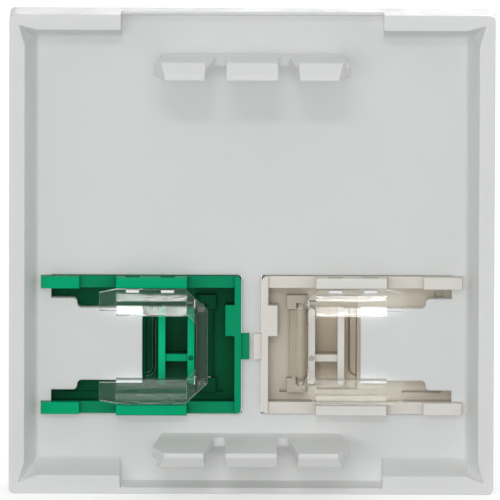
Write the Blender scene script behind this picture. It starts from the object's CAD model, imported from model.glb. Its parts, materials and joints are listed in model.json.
import json
import math

import bpy
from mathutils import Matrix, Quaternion, Vector


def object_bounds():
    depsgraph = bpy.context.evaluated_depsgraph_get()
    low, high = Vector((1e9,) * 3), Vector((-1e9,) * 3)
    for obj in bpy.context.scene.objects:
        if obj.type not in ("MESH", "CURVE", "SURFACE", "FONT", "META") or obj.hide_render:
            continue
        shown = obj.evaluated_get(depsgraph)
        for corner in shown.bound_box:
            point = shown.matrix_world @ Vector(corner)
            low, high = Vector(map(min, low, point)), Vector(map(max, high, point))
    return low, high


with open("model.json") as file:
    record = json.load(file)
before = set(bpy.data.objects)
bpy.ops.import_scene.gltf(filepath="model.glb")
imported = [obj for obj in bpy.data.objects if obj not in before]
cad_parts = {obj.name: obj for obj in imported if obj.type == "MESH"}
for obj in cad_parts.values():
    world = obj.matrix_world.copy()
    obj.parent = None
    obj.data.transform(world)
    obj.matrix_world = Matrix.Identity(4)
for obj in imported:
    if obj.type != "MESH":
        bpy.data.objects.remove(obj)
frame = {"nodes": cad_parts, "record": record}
cad_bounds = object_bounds()

MM = 0.001
nodes = frame["nodes"]
low, high = cad_bounds
height = high.z - low.z
front_y = low.y
bay_height = 18.87 * MM          # middle of both bays

# ---- the view ------------------------------------------------------------------------------
camera_elevation = math.radians(9.3)
camera_roll = math.radians(0.2)
camera_distance = 2.6
sensor_width = 36.0
picture_width = 64.9 * MM        # what the view takes in, at the camera's target
target = Vector((0.22 * MM, front_y + 7.8 * MM, 32.18 * MM))


def make_camera():
    """A long lens that looks at the plate's back from slightly above."""
    data = bpy.data.cameras.new("camera")
    data.sensor_width = sensor_width
    data.lens = sensor_width * camera_distance / picture_width
    data.clip_start = 0.01
    data.clip_end = 20.0
    camera = bpy.data.objects.new("camera", data)
    bpy.context.scene.collection.objects.link(camera)
    back = Vector((0, math.cos(camera_elevation), math.sin(camera_elevation)))
    camera.location = target + back * camera_distance
    camera.rotation_mode = "QUATERNION"
    look = (-back).to_track_quat("-Z", "Y")
    camera.rotation_quaternion = look @ Quaternion((0, 0, 1), camera_roll)
    bpy.context.scene.camera = camera


# ---- node helpers --------------------------------------------------------------------------
def srgb(red, green, blue):
    """A colour written in 0-255 display values, as linear light."""
    def linear(value):
        value /= 255
        return value / 12.92 if value <= 0.04045 else ((value + 0.055) / 1.055) ** 2.4

    return (linear(red), linear(green), linear(blue), 1.0)


class Nodes:
    """A short way to add and join the nodes of one material."""

    def __init__(self, name):
        self.material = bpy.data.materials.new(name)
        self.material.use_nodes = True
        self.tree = self.material.node_tree
        self.shader = self.tree.nodes["Principled BSDF"]
        self.output = self.tree.nodes["Material Output"]

    def add(self, kind, inputs=None, **settings):
        node = self.tree.nodes.new(kind)
        for name, value in settings.items():
            setattr(node, name, value)
        for name, value in (inputs or {}).items():
            self.join(value, node.inputs[name])
        return node

    def join(self, value, socket):
        if isinstance(value, bpy.types.NodeSocket):
            self.tree.links.new(value, socket)
        else:
            socket.default_value = value

    def place(self):
        return self.add("ShaderNodeTexCoord").outputs["Object"]

    def noise(self, scale, detail=3.0, roughness=0.5):
        inputs = {"Vector": self.place(), "Scale": scale, "Detail": detail, "Roughness": roughness}
        return self.add("ShaderNodeTexNoise", inputs).outputs["Fac"]

    def spread(self, value, low_value, high_value, start=0.3, end=0.7):
        """The value carried from the range start to end over to the range low_value to high_value."""
        source = {"Value": value, "From Min": start, "From Max": end}
        inputs = {**source, "To Min": low_value, "To Max": high_value}
        return self.add("ShaderNodeMapRange", inputs).outputs["Result"]

    def mix(self, share, first, second):
        node = self.add("ShaderNodeMix", data_type="RGBA")
        self.join(share, node.inputs["Factor"])
        self.join(first, node.inputs[6])
        self.join(second, node.inputs[7])
        return node.outputs[2]

    def bump(self, height_value, distance, strength, normal=None):
        inputs = {"Height": height_value, "Distance": distance, "Strength": strength}
        if normal is not None:
            inputs["Normal"] = normal
        return self.add("ShaderNodeBump", inputs).outputs["Normal"]

    def soft_edges(self, radius):
        return self.add("ShaderNodeBevel", {"Radius": radius}, samples=4).outputs["Normal"]

    def edges(self, softened):
        """A share that is 0 on flat faces and grows where a softened edge turns away from them."""
        flat = self.add("ShaderNodeNewGeometry").outputs["Normal"]
        along = self.add("ShaderNodeVectorMath", {0: softened, 1: flat}, operation="DOT_PRODUCT")
        return self.spread(along.outputs["Value"], 1.0, 0.0, 0.0, 1.0)

    def depth(self, stops):
        """A colour by depth behind the front face: (millimetres, colour) stops."""
        _, place_y, _ = self.split_place()
        span = stops[-1][0] * MM
        place = self.spread(place_y, 0.0, 1.0, front_y, front_y + span)
        ramp = self.add("ShaderNodeValToRGB", {"Fac": place})
        elements = ramp.color_ramp.elements
        for _ in stops[2:]:
            elements.new(0.5)
        for element, (depth, colour) in zip(elements, stops):
            element.position = depth / stops[-1][0]
            element.color = colour
        return ramp.outputs["Color"]

    def hollows(self, reach, least, closed, open_from):
        """A share that is 1 on open faces, and falls to least where others close the surface in."""
        node = self.add("ShaderNodeAmbientOcclusion", {"Distance": reach}, samples=8)
        return self.spread(node.outputs["AO"], least, 1.0, closed, open_from)

    def calculate(self, operation, *values):
        """One Math node, with its values in order."""
        return self.add("ShaderNodeMath", dict(enumerate(values)), operation=operation).outputs[0]

    def within(self, value, centre, half):
        """1 where the value lies within half of the centre, and 0 elsewhere."""
        return self.calculate("COMPARE", value, centre, half)

    def split_place(self):
        """Across, depth and up: the three coordinates of the place."""
        split = self.add("ShaderNodeSeparateXYZ", {"Vector": self.place()})
        return [split.outputs[axis] for axis in "XYZ"]


# ---- materials -----------------------------------------------------------------------------
def slot_edge(m, softened):
    """A share for the edge of the flap's J-shaped slot, at the back of its leaf."""
    across, depth, up = m.split_place()
    down = m.within(across, 12.8 * MM, 0.4 * MM)
    level = m.within(up, bay_height - 4.25 * MM, 0.4 * MM)
    beyond = m.calculate("GREATER_THAN", across, 12.4 * MM)
    share = m.calculate("MAXIMUM", down, m.calculate("MULTIPLY", level, beyond))
    bend = m.spread(m.edges(softened), 0.0, 1.0, 0.02, 0.25)
    for limit in (m.within(depth, front_y + 0.9 * MM, 0.2 * MM), bend):
        share = m.calculate("MULTIPLY", share, limit)
    return share


def moulded_plastic(name, stops, finish, glint=None):
    """Moulded plastic: cloudy tone, fine grain, softened edges, uneven sheen, dark hollows."""
    m = Nodes(name)
    base = m.depth(stops)
    dark = m.mix(finish["shade"], base, (0, 0, 0, 1))
    cloudy = m.mix(m.spread(m.noise(90.0, 4.0, 0.55), 0.0, 1.0), base, dark)
    fine = m.mix(m.spread(m.noise(2600.0, 2.0, 0.6), 0.0, 0.5), cloudy, dark)
    colour = m.mix(m.hollows(*finish["hollow"]), finish["hollow_tone"], fine)
    softened = m.soft_edges(finish["edge_radius"])
    if glint:
        colour = m.mix(slot_edge(m, softened), colour, glint)
    m.join(colour, m.shader.inputs["Base Color"])
    roughness = finish["roughness"]
    sheen = m.spread(m.noise(420.0, 3.0, 0.5), roughness - 0.06, roughness + 0.07)
    m.join(sheen, m.shader.inputs["Roughness"])
    m.shader.inputs["IOR"].default_value = 1.5
    m.shader.inputs["Specular IOR Level"].default_value = finish["gloss"]
    m.shader.inputs["Subsurface Weight"].default_value = finish["scatter"]
    m.shader.inputs["Subsurface Scale"].default_value = finish["scatter_reach"]
    m.shader.inputs["Subsurface Radius"].default_value = (1.0, 0.9, 0.8)
    waves = m.bump(m.noise(230.0, 2.0, 0.5), 0.00004, 0.25, softened)
    grain = m.bump(m.noise(5200.0, 2.0, 0.6), finish["grain"], 0.35, waves)
    m.join(grain, m.shader.inputs["Normal"])
    return m.material


def lug_roots(m):
    """1 on the small raised roots of the retainers' lugs, beside the windows of the pads."""
    across, depth, up = m.split_place()
    from_middle = m.calculate("ABSOLUTE", across)
    share = 0.0
    for centre in (10.92 * MM, 15.475 * MM):
        share = m.calculate("ADD", m.within(from_middle, centre, 0.9 * MM), share)
    top = m.within(up, bay_height + 7.25 * MM, 0.25 * MM)
    proud = m.within(depth, front_y + 5.0 * MM, 0.2 * MM)
    for limit in (top, proud):
        share = m.calculate("MULTIPLY", share, limit)
    return share


def clear_plastic(name):
    """Clear moulded plastic, milky along its edges. Its shadow lets most of the light through."""
    m = Nodes(name)
    m.shader.inputs["IOR"].default_value = 1.31
    m.shader.inputs["Specular IOR Level"].default_value = 0.26
    tint = m.mix(m.noise(500.0, 3.0), (0.925, 0.945, 0.945, 1), (0.96, 0.972, 0.972, 1))
    m.join(tint, m.shader.inputs["Base Color"])
    softened = m.soft_edges(0.00012)
    clear = m.spread(m.edges(softened), 1.0, 0.6, 0.02, 0.3)
    frosted = m.spread(lug_roots(m), 1.0, 0.1, 0.0, 1.0)
    m.join(m.calculate("MULTIPLY", clear, frosted), m.shader.inputs["Transmission Weight"])
    m.join(m.spread(m.noise(900.0, 3.0), 0.05, 0.12), m.shader.inputs["Roughness"])
    m.join(m.bump(m.noise(700.0, 2.0), 0.00005, 0.25, softened), m.shader.inputs["Normal"])
    through = m.add("ShaderNodeBsdfTransparent", {"Color": (0.95, 0.96, 0.96, 1)})
    shadow = m.add("ShaderNodeLightPath").outputs["Is Shadow Ray"]
    mixed = m.add("ShaderNodeMixShader", {"Fac": shadow})
    m.tree.links.new(m.shader.outputs["BSDF"], mixed.inputs[1])
    m.tree.links.new(through.outputs["BSDF"], mixed.inputs[2])
    m.tree.links.new(mixed.outputs["Shader"], m.output.inputs["Surface"])
    return m.material


def seen_rays(tree):
    """1 for rays that carry the background to the eye, straight, mirrored or through plastic."""
    path = tree.nodes.new("ShaderNodeLightPath")
    total = path.outputs["Is Camera Ray"]
    for name in ("Is Glossy Ray", "Is Transmission Ray"):
        node = tree.nodes.new("ShaderNodeMath")
        node.operation = "MAXIMUM"
        tree.links.new(total, node.inputs[0])
        tree.links.new(path.outputs[name], node.inputs[1])
        total = node.outputs[0]
    return total


def floor_paper(name):
    """Paper that looks white where nothing shades it, and keeps the object's shadow."""
    m = Nodes(name)
    m.shader.inputs["Roughness"].default_value = 0.9
    m.shader.inputs["Specular IOR Level"].default_value = 0.0
    tone = m.mix(m.noise(6.0, 2.0), srgb(224, 224, 224), srgb(220, 220, 220))
    m.join(tone, m.shader.inputs["Base Color"])
    m.shader.inputs["Emission Color"].default_value = (1, 1, 1, 1)
    lift = m.calculate("MULTIPLY", seen_rays(m.tree), 0.42)
    m.join(lift, m.shader.inputs["Emission Strength"])
    return m.material


# Each plastic's tone by depth behind the front face: (millimetres, display colour). The faces at
# the very front are bright, the thin walls and floors inside the bays dark, and what stands up
# behind the plate bright again.
tones = {
    "white_plastic": [(0.0, (215, 217, 216)), (17.7, (215, 217, 216))],
    "green_plastic": [
        (0.0, (8, 152, 106)),
        (0.2, (8, 152, 106)),
        (0.5, (0, 90, 53)),
        (1.2, (0, 90, 53)),
        (1.5, (0, 72, 43)),
        (2.1, (0, 72, 43)),
        (2.7, (8, 138, 96)),
        (3.1, (10, 146, 102)),
        (3.7, (2, 168, 116)),
        (4.8, (2, 171, 119)),
    ],
    "green_flap_plastic": [
        (0.0, (8, 152, 106)),
        (0.2, (8, 152, 106)),
        (0.5, (0, 71, 42)),
        (1.2, (0, 71, 42)),
        (1.5, (0, 62, 37)),
        (2.1, (0, 62, 37)),
        (2.8, (2, 146, 100)),
        (3.45, (3, 160, 112)),
        (3.8, (8, 187, 131)),
    ],
    "ivory_plastic": [
        (0.0, (220, 218, 211)),
        (0.2, (220, 218, 211)),
        (0.5, (209, 202, 188)),
        (1.2, (209, 202, 188)),
        (1.5, (188, 181, 167)),
        (2.1, (188, 181, 167)),
        (2.7, (219, 216, 208)),
        (4.8, (221, 220, 215)),
    ],
    "ivory_flap_plastic": [
        (0.0, (220, 218, 211)),
        (0.2, (220, 218, 211)),
        (0.5, (188, 176, 157)),
        (1.2, (188, 176, 157)),
        (1.5, (176, 166, 149)),
        (2.1, (176, 166, 149)),
        (2.8, (206, 201, 190)),
        (3.8, (220, 218, 211)),
    ],
}

# Lengths here are in metres. A hollow is its reach, its least share, and where it is closed and open.
white_finish = {
    "shade": 0.02,
    "roughness": 0.44,
    "grain": 0.000006,
    "edge_radius": 0.00022,
    "gloss": 0.25,
    "scatter": 0.35,
    "scatter_reach": 0.0015,
    "hollow_tone": srgb(242, 243, 242),
    "hollow": (0.012, 0.0, 0.15, 0.62),
}
green_finish = {
    "shade": 0.1,
    "roughness": 0.31,
    "grain": 0.000005,
    "edge_radius": 0.00014,
    "gloss": 0.04,
    "scatter": 0.02,
    "scatter_reach": 0.0006,
    "hollow_tone": srgb(0, 40, 24),
    "hollow": (0.003, 0.3, 0.0, 1.0),
}
ivory_finish = {
    "shade": 0.04,
    "roughness": 0.36,
    "grain": 0.000005,
    "edge_radius": 0.00014,
    "gloss": 0.2,
    "scatter": 0.15,
    "scatter_reach": 0.0008,
    "hollow_tone": srgb(150, 134, 112),
    "hollow": (0.003, 0.5, 0.0, 1.0),
}
slot_glint = srgb(150, 176, 164)


def dress():
    """Put each node's plastic in its material slot. The flaps have tones of their own."""

    def plastic(name, finish, **settings):
        stops = [(depth, srgb(*tone)) for depth, tone in tones[name]]
        return moulded_plastic(name, stops, finish, **settings)

    materials = {
        "white_plastic": plastic("white_plastic", white_finish),
        "green_plastic": plastic("green_plastic", green_finish),
        "ivory_plastic": plastic("ivory_plastic", ivory_finish),
        "clear_plastic": clear_plastic("clear_plastic"),
    }
    flap_materials = {
        "green_dust_flap": plastic("green_flap_plastic", green_finish, glint=slot_glint),
        "ivory_dust_flap": plastic("ivory_flap_plastic", ivory_finish),
    }
    for part in frame["record"]["subparts"]:
        slots = nodes[part["node"]].data.materials
        slots.clear()
        slots.append(flap_materials.get(part["node"], materials[part["material_slot"]]))


# ---- floor and light -----------------------------------------------------------------------
def quad(name, corners):
    """One flat face with four corners."""
    mesh = bpy.data.meshes.new(name)
    mesh.from_pydata(corners, [], [(0, 1, 2, 3)])
    piece = bpy.data.objects.new(name, mesh)
    bpy.context.scene.collection.objects.link(piece)
    return piece


def make_floor():
    """A pale floor that the plate's lower edge is level with."""
    reach = 3.0
    signs = ((-1, -1), (1, -1), (1, 1), (-1, 1))
    floor = quad("floor", [(reach * across, reach * deep, 0) for across, deep in signs])
    floor.data.materials.append(floor_paper("floor_paper"))


def area_light(name, place, aim, size, power):
    """A rectangular lamp of size (width, height) in metres and power in watts."""
    data = bpy.data.lights.new(name, "AREA")
    data.shape = "RECTANGLE"
    data.size = size[0]
    data.size_y = size[1]
    data.energy = power
    light = bpy.data.objects.new(name, data)
    bpy.context.scene.collection.objects.link(light)
    light.location = place
    light.rotation_mode = "QUATERNION"
    light.rotation_quaternion = (Vector(aim) - Vector(place)).to_track_quat("-Z", "Y")


def make_light():
    """A soft sky that is brighter above, white to the eye, and three softboxes."""
    world = bpy.data.worlds.new("studio")
    bpy.context.scene.world = world
    world.use_nodes = True
    tree = world.node_tree
    soft = tree.nodes["Background"]
    soft.inputs["Strength"].default_value = 1.0
    place = tree.nodes.new("ShaderNodeTexCoord")
    split = tree.nodes.new("ShaderNodeSeparateXYZ")
    tree.links.new(place.outputs["Generated"], split.inputs["Vector"])
    ramp = tree.nodes.new("ShaderNodeMapRange")
    tree.links.new(split.outputs["Z"], ramp.inputs["Value"])
    for name, value in (("From Min", -0.2), ("From Max", 1.0), ("To Min", 0.43), ("To Max", 0.84)):
        ramp.inputs[name].default_value = value
    tree.links.new(ramp.outputs["Result"], soft.inputs["Color"])
    seen = tree.nodes.new("ShaderNodeBackground")
    seen.inputs["Color"].default_value = (1, 1, 1, 1)
    seen.inputs["Strength"].default_value = 1.0
    mixed = tree.nodes.new("ShaderNodeMixShader")
    tree.links.new(seen_rays(tree), mixed.inputs["Fac"])
    tree.links.new(soft.outputs["Background"], mixed.inputs[1])
    tree.links.new(seen.outputs["Background"], mixed.inputs[2])
    tree.links.new(mixed.outputs["Shader"], tree.nodes["World Output"].inputs["Surface"])
    centre = (0, 0, height / 2)
    area_light("key_softbox", (0.06, 0.88, 0.5), centre, (0.22, 0.04), 1.0)
    area_light("front_softbox", (0.2, 1.6, 0.2), centre, (0.9, 0.38), 6.7)
    area_light("face_softbox", (-0.4, -1.5, 0.34), centre, (0.9, 0.5), 6.5)


def set_view():
    bpy.context.scene.view_settings.view_transform = "Standard"


make_camera()
make_floor()
make_light()
set_view()
dress()
